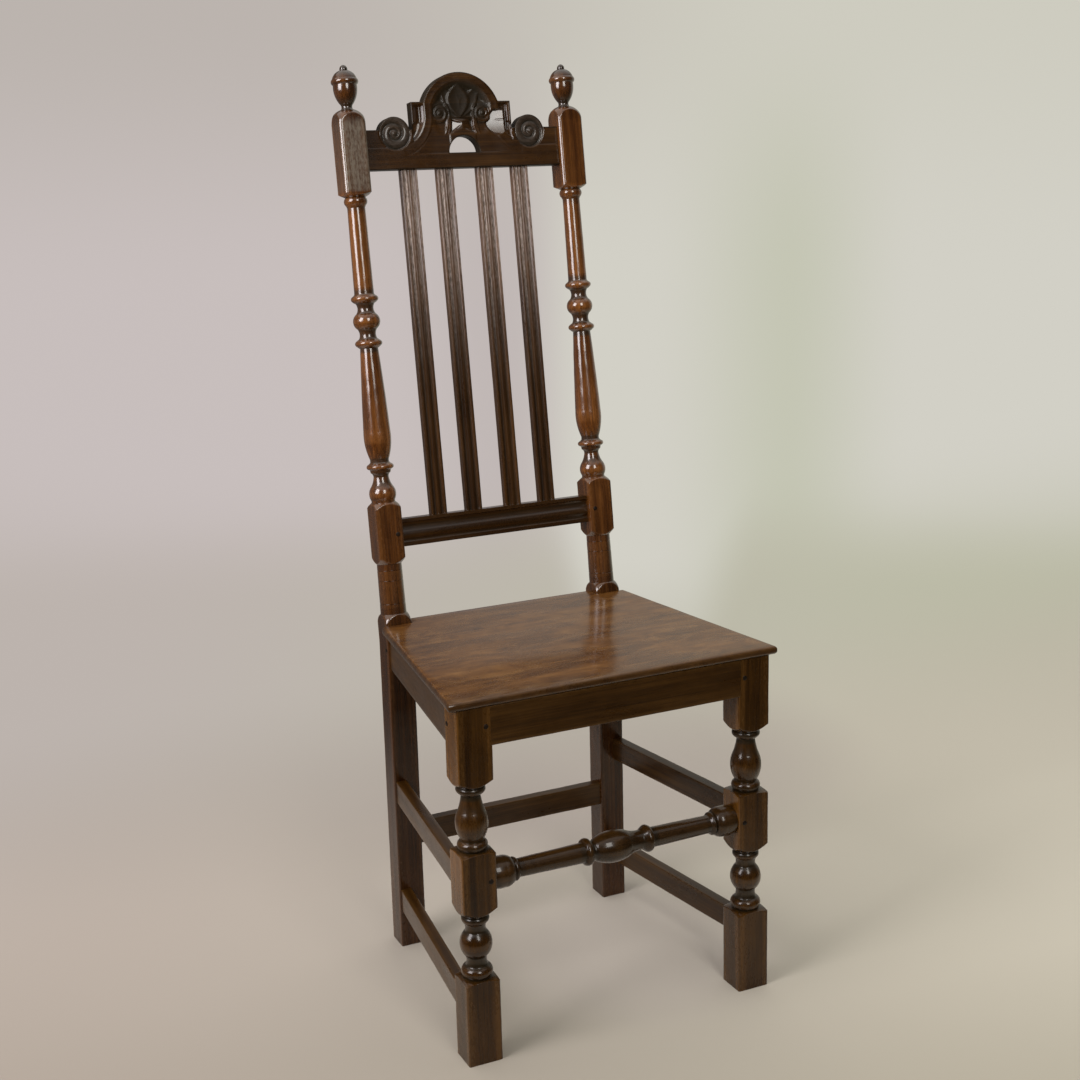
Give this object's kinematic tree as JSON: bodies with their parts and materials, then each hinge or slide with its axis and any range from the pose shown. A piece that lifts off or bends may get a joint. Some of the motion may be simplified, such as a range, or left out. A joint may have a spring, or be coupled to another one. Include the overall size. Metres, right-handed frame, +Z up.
{
  "type": "wainscot chair",
  "caption": "Joined oak high-back side chair with a board seat, turned front legs and back posts, moulded upright slats and an arched crest carved with scrolls.",
  "frame": {"origin": "on the floor under the centre of the chair's bounding box", "axes": "+Z up, -Y towards the front of the seat, +X towards the right as seen from the front"},
  "size_m": [0.443, 0.4592, 1.1827],
  "materials": {
    "oak_posts": "old wax polish, worn",
    "oak_legs": "old wax polish, worn",
    "oak_seat": "old wax polish, satin",
    "oak_rails": "old wax polish, satin",
    "oak_back": "old wax polish, satin",
    "oak_pegs": "dark end grain"
  },
  "bodies": {
    "root": {"left_back_post": "oak_posts", "right_back_post": "oak_posts", "left_front_leg": "oak_legs", "right_front_leg": "oak_legs", "front_stretcher": "oak_legs", "seat_board": "oak_seat", "front_seat_rail": "oak_rails", "back_seat_rail": "oak_rails", "left_seat_rail": "oak_rails", "right_seat_rail": "oak_rails", "left_upper_stretcher": "oak_rails", "left_lower_stretcher": "oak_rails", "right_upper_stretcher": "oak_rails", "right_lower_stretcher": "oak_rails", "back_stretcher": "oak_rails", "crest_rail": "oak_back", "lower_back_rail": "oak_back", "splat_1": "oak_back", "splat_2": "oak_back", "splat_3": "oak_back", "splat_4": "oak_back", "front_rail_pegs": "oak_pegs", "side_rail_pegs": "oak_pegs", "lower_back_rail_pegs": "oak_pegs", "front_stretcher_pegs": "oak_pegs"}
  },
  "joints": []
}
